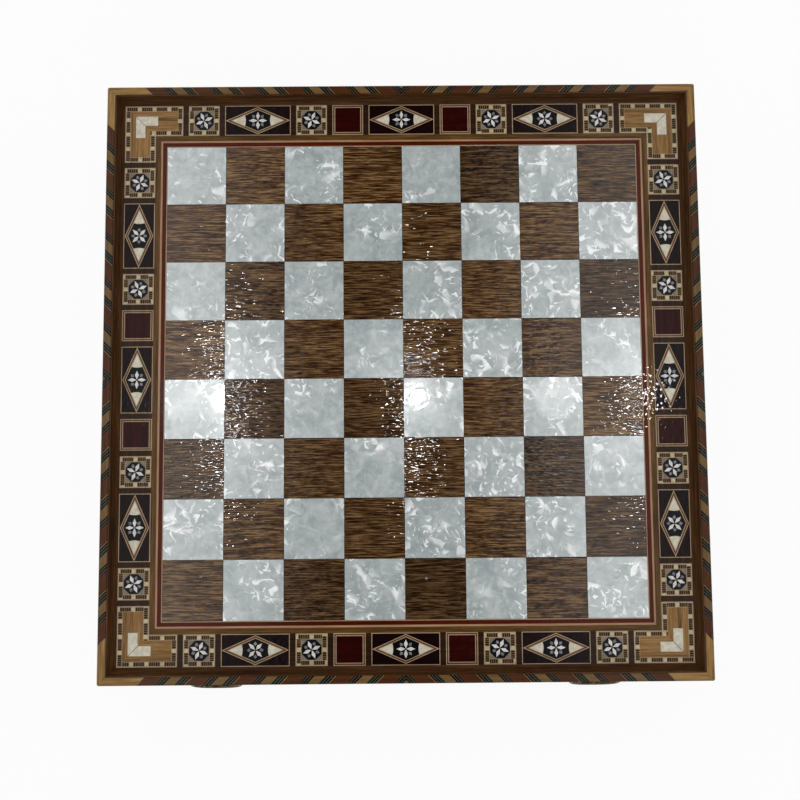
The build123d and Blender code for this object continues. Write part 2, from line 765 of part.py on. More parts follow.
# swinging bail: a bowed wire whose ends turn inwards through the post eyes
leg_x = POST_SPACING / 2 + POST_RADIUS + WIRE_RADIUS + 0.4
pin_x = POST_SPACING / 2 - POST_RADIUS
bow_top = WIRE_RADIUS
bow = []
for step in range(BOW_STEPS + 1):
    angle = radians(180 * step / BOW_STEPS)
    across = abs(cos(angle)) ** BAIL_BOW * leg_x
    down = max(sin(angle), 0) ** BAIL_BOW * (BAIL_DROP - bow_top)
    bow.append((across if step < BOW_STEPS / 2 else -across, -bow_top - down))
bail_line = [(pin_x, 0), (leg_x - bow_top, 0), *bow, (bow_top - leg_x, 0), (-pin_x, 0)]
tilt = radians(BAIL_TILT)
hang = Plane((-PULL_X, -outer - PIVOT_OUT, pull_z), x_dir=(1, 0, 0), z_dir=(0, -cos(tilt), sin(tilt)))
with BuildPart() as front_left_bail:
    with BuildLine(hang):
        wire = Polyline(*bail_line)
    with BuildSketch(Plane(wire @ 0, z_dir=wire % 0)):
        RegularPolygon(WIRE_RADIUS, WIRE_SIDES)
    sweep(transition=Transition.RIGHT)
front_left_bail.part.label = "front_left_bail"
export_step(front_left_bail.part, "parts/front_left_bail.step")

with BuildPart() as front_right_bail:
    with Locations((2 * PULL_X, 0, 0)):
        add(front_left_bail.part)
front_right_bail.part.label = "front_right_bail"
export_step(front_right_bail.part, "parts/front_right_bail.step")

# rear drawer: the same pieces turned half a turn
with BuildPart() as rear_drawer_front:
    add(front_drawer_front.part, rotation=(0, 0, 180))
rear_drawer_front.part.label = "rear_drawer_front"
export_step(rear_drawer_front.part, "parts/rear_drawer_front.step")

with BuildPart() as rear_drawer_right:
    add(front_drawer_right.part, rotation=(0, 0, 180))
rear_drawer_right.part.label = "rear_drawer_right"
export_step(rear_drawer_right.part, "parts/rear_drawer_right.step")

with BuildPart() as rear_drawer_left:
    add(front_drawer_left.part, rotation=(0, 0, 180))
rear_drawer_left.part.label = "rear_drawer_left"
export_step(rear_drawer_left.part, "parts/rear_drawer_left.step")

with BuildPart() as rear_drawer_back:
    add(front_drawer_back.part, rotation=(0, 0, 180))
rear_drawer_back.part.label = "rear_drawer_back"
export_step(rear_drawer_back.part, "parts/rear_drawer_back.step")

with BuildPart() as rear_drawer_bottom:
    add(front_drawer_bottom.part, rotation=(0, 0, 180))
rear_drawer_bottom.part.label = "rear_drawer_bottom"
export_step(rear_drawer_bottom.part, "parts/rear_drawer_bottom.step")

with BuildPart() as rear_drawer_lining:
    add(front_drawer_lining.part, rotation=(0, 0, 180))
rear_drawer_lining.part.label = "rear_drawer_lining"
export_step(rear_drawer_lining.part, "parts/rear_drawer_lining.step")

with BuildPart() as rear_drawer_long_divider:
    add(front_drawer_long_divider.part, rotation=(0, 0, 180))
rear_drawer_long_divider.part.label = "rear_drawer_long_divider"
export_step(rear_drawer_long_divider.part, "parts/rear_drawer_long_divider.step")

with BuildPart() as rear_drawer_cross_dividers:
    add(front_drawer_cross_dividers.part, rotation=(0, 0, 180))
rear_drawer_cross_dividers.part.label = "rear_drawer_cross_dividers"
export_step(rear_drawer_cross_dividers.part, "parts/rear_drawer_cross_dividers.step")

with BuildPart() as rear_pull_posts:
    add(front_pull_posts.part, rotation=(0, 0, 180))
rear_pull_posts.part.label = "rear_pull_posts"
export_step(rear_pull_posts.part, "parts/rear_pull_posts.step")

with BuildPart() as rear_left_bail:
    add(front_left_bail.part, rotation=(0, 0, 180))
rear_left_bail.part.label = "rear_left_bail"
export_step(rear_left_bail.part, "parts/rear_left_bail.step")

with BuildPart() as rear_right_bail:
    add(front_right_bail.part, rotation=(0, 0, 180))
rear_right_bail.part.label = "rear_right_bail"
export_step(rear_right_bail.part, "parts/rear_right_bail.step")
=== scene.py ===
from math import cos, pi, radians, sin

import bpy
from mathutils import Matrix, Vector


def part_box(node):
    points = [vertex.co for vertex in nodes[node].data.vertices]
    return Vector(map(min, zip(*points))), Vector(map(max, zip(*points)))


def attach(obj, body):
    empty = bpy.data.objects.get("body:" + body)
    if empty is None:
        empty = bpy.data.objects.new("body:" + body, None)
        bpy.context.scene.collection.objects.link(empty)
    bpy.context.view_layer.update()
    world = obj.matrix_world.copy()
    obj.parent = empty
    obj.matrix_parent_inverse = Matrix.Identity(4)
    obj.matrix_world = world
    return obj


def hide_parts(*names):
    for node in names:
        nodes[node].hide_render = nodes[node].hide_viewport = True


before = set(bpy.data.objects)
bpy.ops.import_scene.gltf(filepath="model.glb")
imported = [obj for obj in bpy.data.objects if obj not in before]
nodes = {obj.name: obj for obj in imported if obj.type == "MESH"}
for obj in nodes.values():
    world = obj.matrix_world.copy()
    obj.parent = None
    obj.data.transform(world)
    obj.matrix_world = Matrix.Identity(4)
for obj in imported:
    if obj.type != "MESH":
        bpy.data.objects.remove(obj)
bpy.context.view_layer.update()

# Base panel: a plywood sheet as wide as the case, stained dark on its faces and edges
# and glued up under the walls and the partition.


def add_node(tree, kind, options=None, **sockets):
    made = tree.nodes.new(kind)
    for key, value in (options or {}).items():
        setattr(made, key, value)
    for key, value in sockets.items():
        socket = made.inputs[int(key[1:])] if key[0] == "s" and key[1:].isdigit() else made.inputs[key]
        if isinstance(value, bpy.types.NodeSocket):
            tree.links.new(value, socket)
        else:
            socket.default_value = value
    return made


def calc(tree, operation, first, second=0.0, clamp=False):
    made = add_node(tree, "ShaderNodeMath", {"operation": operation, "use_clamp": clamp},
                    s0=first, s1=second)
    return made.outputs[0]


def blend_colour(tree, factor, first, second, mode="MIX"):
    made = add_node(tree, "ShaderNodeMix", {"data_type": "RGBA", "blend_type": mode},
                    s0=factor, s6=first, s7=second)
    return made.outputs[2]


def stretch(tree, vector, scale):
    made = add_node(tree, "ShaderNodeVectorMath", {"operation": "MULTIPLY"}, s0=vector, s1=scale)
    return made.outputs[0]


def grey_noise(tree, vector, detail=4.0, rough=0.55, twist=0.0):
    made = add_node(tree, "ShaderNodeTexNoise", {"noise_dimensions": "3D"},
                    Vector=vector, Scale=1.0, Detail=detail, Roughness=rough, Distortion=twist)
    return made.outputs[0]


def step_up(tree, value, low, high):
    made = add_node(tree, "ShaderNodeMapRange", {"interpolation_type": "SMOOTHSTEP", "clamp": True},
                    s0=value, s1=low, s2=high)
    return made.outputs[0]


def tint(hexcode):
    parts = [int(hexcode[i:i + 2], 16) / 255 for i in (0, 2, 4)]
    linear = [c / 12.92 if c <= 0.04045 else ((c + 0.055) / 1.055) ** 2.4 for c in parts]
    return (*linear, 1.0)


def begin_finish(name, roughness, coat=0.0, coat_roughness=0.04, metallic=0.0, specular=0.35):
    finish = bpy.data.materials.new(name)
    finish.use_nodes = True
    tree = finish.node_tree
    shader = tree.nodes["Principled BSDF"]
    shader.inputs["Roughness"].default_value = roughness
    shader.inputs["Metallic"].default_value = metallic
    shader.inputs["Specular IOR Level"].default_value = specular
    shader.inputs["Coat Weight"].default_value = coat
    shader.inputs["Coat Roughness"].default_value = coat_roughness
    where = tree.nodes.new("ShaderNodeTexCoord").outputs["Object"]
    return finish, tree, shader, where


def turn_grain(tree, where, run):
    if run == "X":
        return where
    split = add_node(tree, "ShaderNodeSeparateXYZ", s0=where).outputs
    swapped = add_node(tree, "ShaderNodeCombineXYZ", s0=split[1], s1=split[0], s2=split[2]).outputs[0]
    if run == "Y":
        return swapped
    beside = calc(tree, "GREATER_THAN", calc(tree, "ABSOLUTE", split[0]), calc(tree, "ABSOLUTE", split[1]))
    pick = add_node(tree, "ShaderNodeMix", {"data_type": "VECTOR"}, s0=beside, s4=where, s5=swapped)
    return pick.outputs[1]


def wood_grain(tree, grain, dark, middle, pale, streak=1.0, pore=0.6, size=1.0,
               short=1.0, wander=0.5, figure=0.42):
    coarse = (16 * short / size, 300 / size, 300 / size)
    thin = (48 * short / size, 1250 / size, 1250 / size)
    pitted = (160 / size, 1900 / size, 1900 / size)
    broad = grey_noise(tree, stretch(tree, grain, coarse), detail=5.0, rough=0.6, twist=wander)
    fine = grey_noise(tree, stretch(tree, grain, thin), detail=4.0, rough=0.6, twist=0.8 * wander)
    pores = grey_noise(tree, stretch(tree, grain, pitted), detail=2.0, rough=0.5)
    mixed = calc(tree, "ADD",
                 calc(tree, "MULTIPLY", broad, figure),
                 calc(tree, "MULTIPLY", fine, 1.0 - figure))
    spread = 0.16 / streak
    ramp = add_node(tree, "ShaderNodeValToRGB", s0=mixed)
    ramp.color_ramp.elements[0].position = 0.5 - spread
    ramp.color_ramp.elements[0].color = dark
    ramp.color_ramp.elements[1].position = 0.5 + spread
    ramp.color_ramp.elements[1].color = pale
    ramp.color_ramp.elements.new(0.5).color = middle
    open_pore = calc(tree, "MULTIPLY", step_up(tree, pores, 0.58, 0.7), pore)
    colour = blend_colour(tree, open_pore, ramp.outputs[0], dark)
    relief = calc(tree, "SUBTRACT", fine, calc(tree, "MULTIPLY", open_pore, 0.6))
    return colour, relief


RIPPLE_DEPTH = 0.0003


def finish_with(tree, shader, colour, relief=None, strength=0.1, depth=0.0002,
                wave=(420, 420, 420), swell=0.2, gloss=None):
    tree.links.new(colour, shader.inputs["Base Color"])
    where = tree.nodes.new("ShaderNodeTexCoord").outputs["Object"]
    ripple = grey_noise(tree, stretch(tree, where, wave), detail=0.0)
    coat = add_node(tree, "ShaderNodeBump", Strength=swell, Distance=RIPPLE_DEPTH, Height=ripple)
    tree.links.new(coat.outputs[0], shader.inputs["Coat Normal"])
    if relief is not None:
        bump = add_node(tree, "ShaderNodeBump", Strength=strength, Distance=depth, Height=relief)
        tree.links.new(bump.outputs[0], shader.inputs["Normal"])
        if gloss:
            polish = add_node(tree, "ShaderNodeMapRange",
                              s0=relief, s1=0.3, s2=0.7, s3=gloss[0], s4=gloss[1])
            tree.links.new(polish.outputs[0], shader.inputs["Roughness"])


def lacquered_wood(name, dark, middle, pale, run="X", streak=1.0, pore=0.6, size=1.0,
                   coat=0.15, relief=0.1):
    finish, tree, shader, where = begin_finish(name, roughness=0.27, coat=coat, specular=0.02)
    grain = turn_grain(tree, where, run)
    colour, height = wood_grain(tree, grain, tint(dark), tint(middle), tint(pale), streak, pore, size)
    finish_with(tree, shader, colour, height, strength=relief, gloss=(0.32, 0.2))
    return finish


def dress(name, finish):
    piece = nodes[name]
    if not piece.material_slots:
        piece.data.materials.append(finish)
    for slot in piece.material_slots:
        slot.material = finish


base_stain = lacquered_wood("base_stain", "2a1a10", "3d2818", "4c3422", coat=0.2)
dress("base_panel", base_stain)

# Feet: four moulded black rubber bumpers with a dull, faintly speckled face,
# stuck on near the corners of the base.
finish, tree, shader, where = begin_finish("foot_rubber", roughness=0.75)
speck = grey_noise(tree, stretch(tree, where, (900, 900, 900)), detail=3.0)
colour = blend_colour(tree, speck, tint("141414"), tint("262524"))
finish_with(tree, shader, colour, speck, strength=0.15)
dress("feet", finish)

# Walls and top rails: walnut boards with lengthwise grain under a clear gloss lacquer,
# the rails tenoned into the walls over the drawer openings.
WALNUT = ("33200f", "543822", "73512f")
walnut_along_y = lacquered_wood("walnut_wall", *WALNUT, "Y", pore=0.7, size=1.3, coat=0.4)
walnut_along_x = lacquered_wood("walnut_rail", *WALNUT, "X", pore=0.7, size=1.3, coat=0.4)
for name in ("left_wall", "right_wall"):
    dress(name, walnut_along_y)
for name in ("front_top_rail", "rear_top_rail"):
    dress(name, walnut_along_x)

# Partition: a plain beech board across the middle of the case, housed in both walls,
# that both drawers stop against.
BEECH = ("a07a4e", "bd9565", "cfaa7b")


def beech(name, run):
    return lacquered_wood(name, *BEECH, run, streak=0.8, pore=0.25, size=0.9, coat=0.25, relief=0.06)


beech_along_x = beech("beech_long", "X")
beech_along_y = beech("beech_cross", "Y")
dress("centre_partition", beech_along_x)

# Board core: a plywood panel dropped into the rabbet of the case and sized with dark glue,
# which shows only in the joints between the squares.
glue_size = lacquered_wood("glue_sized_core", "120b06", "1d130b", "281b10", "X", 0.8, 0.3, coat=0.1)
dress("top_core", glue_size)

# Pearl squares: pearlescent sheet with drifting white flakes and short bright strokes,
# each square cut from another part of the sheet and laid under the lacquer.
SQUARE = 0.040
FIELD = 4 * SQUARE
SHEET_JUMP = 7.0
SWIRL = 0.008
PEARL_GREY, PEARL_LIGHT, PEARL_FOLD = "9ba5a6", "b5bdbc", "d6dbd8"
PEARL_SHADE, PEARL_WHITE = "7b878b", "fbfdfc"
FOLD_SHARE, FACET_SHARE = 0.35, 0.26
FLAKE_SHARE, CHIP_SHARE, PLATE_SHARE = 0.9, 0.8, 0.6
CROWD_FROM, CROWD_CHANCE, CROWD_EDGE, CROWD_LEAST = 0.32, 0.2, 0.16, 0.1


def move(tree, vector, offset, operation="ADD"):
    return add_node(tree, "ShaderNodeVectorMath", {"operation": operation}, s0=vector, s1=offset).outputs[0]


def square_shift(tree, where):
    cell = stretch(tree, move(tree, where, (FIELD, FIELD, 0)), (1 / SQUARE, 1 / SQUARE, 0))
    cell = add_node(tree, "ShaderNodeVectorMath", {"operation": "FLOOR"}, s0=cell).outputs[0]
    lot = add_node(tree, "ShaderNodeTexWhiteNoise", {"noise_dimensions": "3D"}, Vector=cell)
    own = move(tree, where, stretch(tree, lot.outputs[1], (SHEET_JUMP, SHEET_JUMP, SHEET_JUMP)))
    return own, lot.outputs[0]


finish, tree, shader, where = begin_finish("pearl_sheet", roughness=0.2, coat=1.0, specular=0.9)
own, chance = square_shift(tree, where)
drift = add_node(tree, "ShaderNodeTexNoise", {"noise_dimensions": "3D"},
                 Vector=own, Scale=90.0, Detail=3.0)
swirl = move(tree, drift.outputs[1], (0.5, 0.5, 0.5), "SUBTRACT")
swirl = stretch(tree, swirl, (SWIRL, SWIRL, 0.0))
flat = stretch(tree, move(tree, own, swirl), (1, 1, 0))


def flake_layer(tree, flat, scale, edge_low, edge_high, share):
    cells = add_node(tree, "ShaderNodeTexVoronoi", {"voronoi_dimensions": "2D", "feature": "F1"},
                     Vector=flat, Scale=scale)
    lot = add_node(tree, "ShaderNodeSeparateColor", s0=cells.outputs[1]).outputs
    away = stretch(tree, move(tree, flat, cells.outputs[2], "SUBTRACT"), (scale, scale, 0))
    away = add_node(tree, "ShaderNodeSeparateXYZ", s0=away).outputs
    angle = calc(tree, "MULTIPLY", lot[0], 2 * pi)
    lean = calc(tree, "ADD",
                calc(tree, "MULTIPLY", away[0], calc(tree, "COSINE", angle)),
                calc(tree, "MULTIPLY", away[1], calc(tree, "SINE", angle)))
    crest = step_up(tree, lean, edge_low, edge_high)
    return calc(tree, "MULTIPLY", crest, step_up(tree, lot[1], 1.0 - share, 1.0 - share + 0.15))


def stroke_layer(tree, flat, patch, along, across, low, high, share):
    cells = add_node(tree, "ShaderNodeTexVoronoi", {"voronoi_dimensions": "2D", "feature": "F1"},
                     Vector=flat, Scale=patch)
    lot = add_node(tree, "ShaderNodeSeparateColor", s0=cells.outputs[1]).outputs
    turned = add_node(tree, "ShaderNodeVectorRotate", {"rotation_type": "Z_AXIS"},
                      Vector=flat, Angle=calc(tree, "MULTIPLY", lot[0], 2 * pi)).outputs[0]
    marks = grey_noise(tree, stretch(tree, turned, (along, across, 1)), detail=2.0, rough=0.4)
    inside = step_up(tree, cells.outputs[0], 0.62, 0.4)
    marks = calc(tree, "MULTIPLY", step_up(tree, marks, low, high), inside)
    return calc(tree, "MULTIPLY", marks, step_up(tree, lot[1], 1.0 - share, 1.0 - share + 0.1))


cloud = grey_noise(tree, stretch(tree, flat, (70, 70, 1)), detail=3.0, rough=0.5)
fold = grey_noise(tree, stretch(tree, flat, (180, 180, 1)), detail=3.0, rough=0.55, twist=0.8)
facets = flake_layer(tree, flat, scale=210.0, edge_low=-0.5, edge_high=0.6, share=1.0)
plates = flake_layer(tree, flat, scale=115.0, edge_low=0.0, edge_high=0.4, share=0.35)
flakes = flake_layer(tree, flat, scale=150.0, edge_low=0.2, edge_high=0.5, share=0.6)
chips = flake_layer(tree, flat, scale=330.0, edge_low=0.28, edge_high=0.5, share=0.4)
strokes = stroke_layer(tree, flat, patch=85.0, along=110.0, across=620.0, low=0.6, high=0.68, share=0.55)
body = blend_colour(tree, step_up(tree, cloud, 0.3, 0.7), tint(PEARL_GREY), tint(PEARL_LIGHT))
folded = calc(tree, "MULTIPLY", step_up(tree, fold, 0.45, 0.7), FOLD_SHARE)
body = blend_colour(tree, folded, body, tint(PEARL_FOLD))
body = blend_colour(tree, calc(tree, "MULTIPLY", facets, FACET_SHARE), body, tint(PEARL_SHADE))
bright = calc(tree, "ADD",
              calc(tree, "MULTIPLY", flakes, FLAKE_SHARE),
              calc(tree, "MULTIPLY", chips, CHIP_SHARE))
bright = calc(tree, "ADD", bright, calc(tree, "MULTIPLY", plates, PLATE_SHARE))
bright = calc(tree, "ADD", bright, strokes, clamp=True)
level = calc(tree, "ADD", calc(tree, "MULTIPLY", chance, CROWD_CHANCE), CROWD_FROM)
crowd = grey_noise(tree, stretch(tree, flat, (45, 45, 1)), detail=1.0)
crowd = step_up(tree, crowd, level, calc(tree, "ADD", level, CROWD_EDGE))
crowd = calc(tree, "ADD", calc(tree, "MULTIPLY", crowd, 1.0 - CROWD_LEAST), CROWD_LEAST)
bright = calc(tree, "MULTIPLY", bright, crowd)
colour = blend_colour(tree, bright, body, tint(PEARL_WHITE))
finish_with(tree, shader, colour, wave=(330, 330, 330), swell=0.06)
dress("pearl_squares", finish)

# Walnut squares: quarter-cut veneer with the grain across the board in every square, glued on
# the core between the pearl squares, each a little lighter or darker than its neighbours.
LIGHT_LEAST, LIGHT_SPAN = 0.65, 0.7
finish, tree, shader, where = begin_finish("walnut_veneer", roughness=0.27, coat=0.6,
                                           coat_roughness=0.05, specular=0.02)
own, chance = square_shift(tree, where)
colour, height = wood_grain(tree, own, tint("200f02"), tint("482e15"), tint("785c3b"),
                            streak=1.7, pore=1.0, size=1.05, short=1.7, wander=0.03, figure=0.2)
lightness = calc(tree, "ADD", calc(tree, "MULTIPLY", chance, LIGHT_SPAN), LIGHT_LEAST)
shade = add_node(tree, "ShaderNodeHueSaturation",
                 Hue=0.5, Saturation=1.0, Value=lightness, Fac=1.0, Color=colour)
finish_with(tree, shader, shade.outputs[0], height, strength=0.3, depth=0.0003,
            wave=(240, 950, 950), swell=0.42, gloss=(0.34, 0.2))
dress("walnut_squares", finish)

# Stringing round the field: a hair-thin pale line, a red line and a wider pear-wood line,
# cut from veneer on edge and mitred at the corners.
pale_line = lacquered_wood("pale_string", "8d765b", "a48d72", "b6a286", "SIDE", 0.8, 0.2)
red_line = lacquered_wood("red_string", "2e0a03", "461304", "5a1d08", "SIDE", 0.8, 0.3)
pear_line = lacquered_wood("pear_string", "7f5d43", "a07c5e", "b69374", "SIDE", 0.8, 0.25)
dress("field_line", pale_line)
dress("red_line", red_line)
dress("outer_line", pear_line)

# Inner band and corner fields: a darker walnut band mitred round the stringing, and golden walnut
# in the four corner tiles, both sawn veneer with the grain along each side.
gold_walnut = lacquered_wood("gold_walnut", "563c1d", "816037", "9d794a", "SIDE", 1.2, 0.6)
dress("corner_fields", gold_walnut)
dress("inner_band", lacquered_wood("band_walnut", "33200d", "52391a", "6c4e29", "SIDE", 1.2, 0.6))

# Mosaic grounds: dark walnut spacers, brown lines, maroon lozenge grounds, red tiles,
# stained grey-green star grounds and black flower grounds, all thin veneer glued edge to edge.
dress("band_spacers", lacquered_wood("spacer_walnut", "190e07", "2a190d", "3b2717", "SIDE", 1.0, 0.6))
dress("brown_lines", lacquered_wood("brown_line", "3a2414", "55371f", "6a482b", "SIDE", 0.9, 0.4))
dress("lozenge_grounds", lacquered_wood("maroon_ground", "0a0202", "130405", "1c0809", "SIDE", 0.9, 0.5))
dress("red_tiles", lacquered_wood("red_tile", "190100", "290302", "380805", "SIDE", 0.9, 0.5))
dress("star_grounds", lacquered_wood("grey_ground", "5a5145", "7a6f60", "948978", "SIDE", 0.7, 0.2))
black_ground = lacquered_wood("black_ground", "050506", "0b0a0c", "141316", "SIDE", 0.9, 0.4)
dress("star_octagons", black_ground)
dress("lozenge_centres", black_ground)
dress("pale_lines", pale_line)
dress("rhombus_lines", pale_line)


# Shell petals and bone: slices of shell with a soft cloudy figure, and camel-bone tips and bars,
# sawn to shape and let into the black and walnut grounds.
def shell(name, low, high, scale):
    finish, tree, shader, where = begin_finish(name, roughness=0.25, coat=0.3, specular=0.1)
    cloud = grey_noise(tree, stretch(tree, where, (scale, scale, scale)), detail=4.0, rough=0.6, twist=0.8)
    colour = blend_colour(tree, step_up(tree, cloud, 0.3, 0.7), tint(low), tint(high))
    finish_with(tree, shader, colour, cloud, strength=0.04)
    return finish


dress("white_petals", shell("white_shell", "c0bbb7", "e0dcd8", scale=420))
dress("grey_petals", shell("grey_shell", "5c5a60", "86838a", scale=500))
bone = shell("bone", "b6b09d", "d2cbb9", scale=260)
dress("lozenge_tips", bone)
dress("corner_chevrons", bone)

# Ladder frames: thin bars of black and brown wood set across a tan strip, with a bone square
# between the groups, made as strips and cut to frame each star and corner tile.
MOSAIC_IN = 0.1683
MOSAIC = 0.0210
MOSAIC_OUT = MOSAIC_IN + MOSAIC
CORNER_LEG = 0.0396
OUTLINE = 0.0005
LADDER = 0.0032
EDGE_LINE = 0.00030
BAR = 0.00085
GAP = 0.00055
BARS = 5
BONE_SQUARE = 0.0026
SLIVER = 0.00008
SEED = 0.001
SPACER = 0.00384
LOZENGE = 0.0450
STAR_FAR = MOSAIC_OUT - CORNER_LEG - SPACER - MOSAIC / 2
STAR_NEAR = STAR_FAR - MOSAIC - 2 * SPACER - LOZENGE
STAR_PLACES = (-STAR_FAR, -STAR_NEAR, STAR_NEAR, STAR_FAR)
SKIN_LOW, SKIN_HIGH = (corner[2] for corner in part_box("star_ladders"))
SKIN_MID = (SKIN_LOW + SKIN_HIGH) / 2
SKIN_DEPTH = SKIN_HIGH - SKIN_LOW
LADDER_WOODS = [
    lacquered_wood("ladder_tan", "553f24", "6b5434", "7e6845", "SIDE", 0.8, 0.2),
    lacquered_wood("ladder_black", "080606", "100c0a", "1a1411", "SIDE", 0.8, 0.3),
    lacquered_wood("ladder_brown", "26120a", "3a1e11", "4c2b1a", "SIDE", 0.8, 0.3),
    shell("ladder_bone", "a69771", "c1b591", scale=500),
    pale_line,
]
TAN, BLACK, BROWN, BONE, PALE = range(5)


def begin_piece(name, finishes):
    bpy.ops.object.select_all(action="DESELECT")
    bpy.ops.mesh.primitive_cube_add(size=SEED)
    piece = bpy.context.object
    piece.name = name
    for finish in finishes:
        piece.data.materials.append(finish)
    bpy.ops.object.mode_set(mode="EDIT")
    bpy.ops.mesh.select_all(action="SELECT")
    bpy.ops.mesh.delete(type="VERT")
    return piece


def lay_bar(piece, low, high, finish):
    middle = ((low[0] + high[0]) / 2, (low[1] + high[1]) / 2, SKIN_MID)
    size = (high[0] - low[0], high[1] - low[1], SKIN_DEPTH)
    bpy.ops.mesh.primitive_cube_add(size=1, location=middle, scale=size)
    piece.active_material_index = finish
    bpy.ops.object.material_slot_assign()


def lay_strip(piece, low, high, centre):
    long_way = 0 if high[0] - low[0] > high[1] - low[1] else 1
    cross = 1 - long_way

    def corner(along, across):
        return (along, across) if long_way == 0 else (across, along)

    begin, stop = low[long_way], high[long_way]
    inner = (low[cross] + EDGE_LINE, high[cross] - EDGE_LINE)
    lay_bar(piece, corner(begin, low[cross]), corner(stop, inner[0]), PALE)
    lay_bar(piece, corner(begin, inner[1]), corner(stop, high[cross]), PALE)
    group = BONE_SQUARE + BARS * (BAR + GAP) + GAP
    cuts = []
    first = centre - BONE_SQUARE / 2
    while first > begin:
        first -= group
    while first < stop:
        cuts.append((first, first + BONE_SQUARE, BONE))
        at = first + BONE_SQUARE
        for turn in range(BARS):
            cuts.append((at, at + GAP, TAN))
            cuts.append((at + GAP, at + GAP + BAR, BROWN if turn == BARS // 2 else BLACK))
            at += GAP + BAR
        cuts.append((at, at + GAP, TAN))
        first += group
    for bar_begin, bar_stop, finish in cuts:
        bar_begin, bar_stop = max(bar_begin, begin), min(bar_stop, stop)
        if bar_stop - bar_begin > SLIVER:
            lay_bar(piece, corner(bar_begin, inner[0]), corner(bar_stop, inner[1]), finish)


def copy_at(piece, spot):
    bpy.ops.object.select_all(action="DESELECT")
    piece.select_set(True)
    bpy.context.view_layer.objects.active = piece
    bpy.ops.object.duplicate(linked=False)
    copy = bpy.context.object
    copy.matrix_world = spot
    bpy.ops.object.transform_apply(location=True, rotation=True, scale=True)
    return copy


def join_copies(piece, spots):
    made = [copy_at(piece, spot) for spot in spots]
    bpy.ops.object.select_all(action="DESELECT")
    for copy in made:
        copy.select_set(True)
    bpy.context.view_layer.objects.active = made[0]
    bpy.ops.object.join()
    return bpy.context.object


def quarter(turn):
    return Matrix.Rotation(turn * pi / 2, 4, "Z")


half = MOSAIC / 2 - OUTLINE
star_ladder = begin_piece("star_ladder_one", LADDER_WOODS)
lay_strip(star_ladder, (-half, half - LADDER), (half - LADDER, half), 0.0)
lay_strip(star_ladder, (half - LADDER, LADDER - half), (half, half), 0.0)
lay_strip(star_ladder, (LADDER - half, -half), (half, LADDER - half), 0.0)
lay_strip(star_ladder, (-half, -half), (LADDER - half, half - LADDER), 0.0)
edge = MOSAIC / 2
lay_bar(star_ladder, (-edge, half), (half, edge), PALE)
lay_bar(star_ladder, (half, -half), (edge, edge), PALE)
lay_bar(star_ladder, (-half, -edge), (edge, -half), PALE)
lay_bar(star_ladder, (-edge, -edge), (-half, half), PALE)
bpy.ops.object.mode_set(mode="OBJECT")
star_spots = [quarter(turn) @ Matrix.Translation((place, MOSAIC_IN + MOSAIC / 2, 0))
              for turn in range(4) for place in STAR_PLACES]
star_bars = join_copies(star_ladder, star_spots)
star_bars.name = "star_ladder_bars"
bpy.data.objects.remove(star_ladder)
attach(star_bars, "case")
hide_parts("star_ladders")

far = MOSAIC_OUT - OUTLINE
end = MOSAIC_OUT - CORNER_LEG + OUTLINE
near = MOSAIC_IN + OUTLINE
corner_ladder = begin_piece("corner_ladder_one", LADDER_WOODS)
lay_strip(corner_ladder, (end, far - LADDER), (far - LADDER, far), (end + far) / 2)
lay_strip(corner_ladder, (far - LADDER, end + LADDER), (far, far), (end + far) / 2)
lay_strip(corner_ladder, (near + LADDER, end), (far, end + LADDER), (near + far) / 2)
lay_strip(corner_ladder, (near, end), (near + LADDER, near + LADDER), (end + near) / 2)
lay_strip(corner_ladder, (end, near), (near, near + LADDER), (end + near) / 2)
lay_strip(corner_ladder, (end, near + LADDER), (end + LADDER, far - LADDER), (near + far) / 2)
lay_bar(corner_ladder, (end - OUTLINE, far), (far, MOSAIC_OUT), PALE)
lay_bar(corner_ladder, (far, end), (MOSAIC_OUT, MOSAIC_OUT), PALE)
lay_bar(corner_ladder, (near, end - OUTLINE), (MOSAIC_OUT, end), PALE)
lay_bar(corner_ladder, (MOSAIC_IN, end - OUTLINE), (near, near), PALE)
lay_bar(corner_ladder, (end, MOSAIC_IN), (MOSAIC_IN, near), PALE)
lay_bar(corner_ladder, (end - OUTLINE, MOSAIC_IN), (end, far), PALE)
bpy.ops.object.mode_set(mode="OBJECT")
corner_bars = join_copies(corner_ladder, [quarter(turn) for turn in range(4)])
corner_bars.name = "corner_ladder_bars"
bpy.data.objects.remove(corner_ladder)
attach(corner_bars, "case")
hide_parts("corner_ladders")

# Rim moulding: four walnut lengths planed hollow on the inner side, mitred at the corners
# and glued to the walls, the rails and the core.
dress("rim_moulding", lacquered_wood("rim_walnut", "25150a", "422913", "5e3d20", "SIDE",
                                     pore=0.7, size=1.1, coat=0.2))

# Striped edging: slices of red-brown and tan wood and packets of thin black, green and drab veneers,
# glued up on the slant and sawn into strips that cap the walls and rails.
# The slant turns round at the middle of each side.
OUTER = 0.200
PERIOD = 0.031
PHASE = 0.021
WOBBLE = 0.0012
finish, tree, shader, where = begin_finish("striped_woods", roughness=0.27, coat=0.15, specular=0.04)
split = add_node(tree, "ShaderNodeSeparateXYZ", s0=where).outputs
reach_x, reach_y = calc(tree, "ABSOLUTE", split[0]), calc(tree, "ABSOLUTE", split[1])
along = calc(tree, "MINIMUM", reach_x, reach_y)
inward = calc(tree, "SUBTRACT", OUTER, calc(tree, "MAXIMUM", reach_x, reach_y))
wobble = calc(tree, "MULTIPLY", grey_noise(tree, stretch(tree, where, (60, 60, 60)), detail=2.0), WOBBLE)
place = calc(tree, "ADD", calc(tree, "ADD", along, inward), wobble)
phase = calc(tree, "FRACT", calc(tree, "DIVIDE", calc(tree, "ADD", place, PHASE), PERIOD))
ramp = add_node(tree, "ShaderNodeValToRGB", s0=phase)
ramp.color_ramp.interpolation = "CONSTANT"
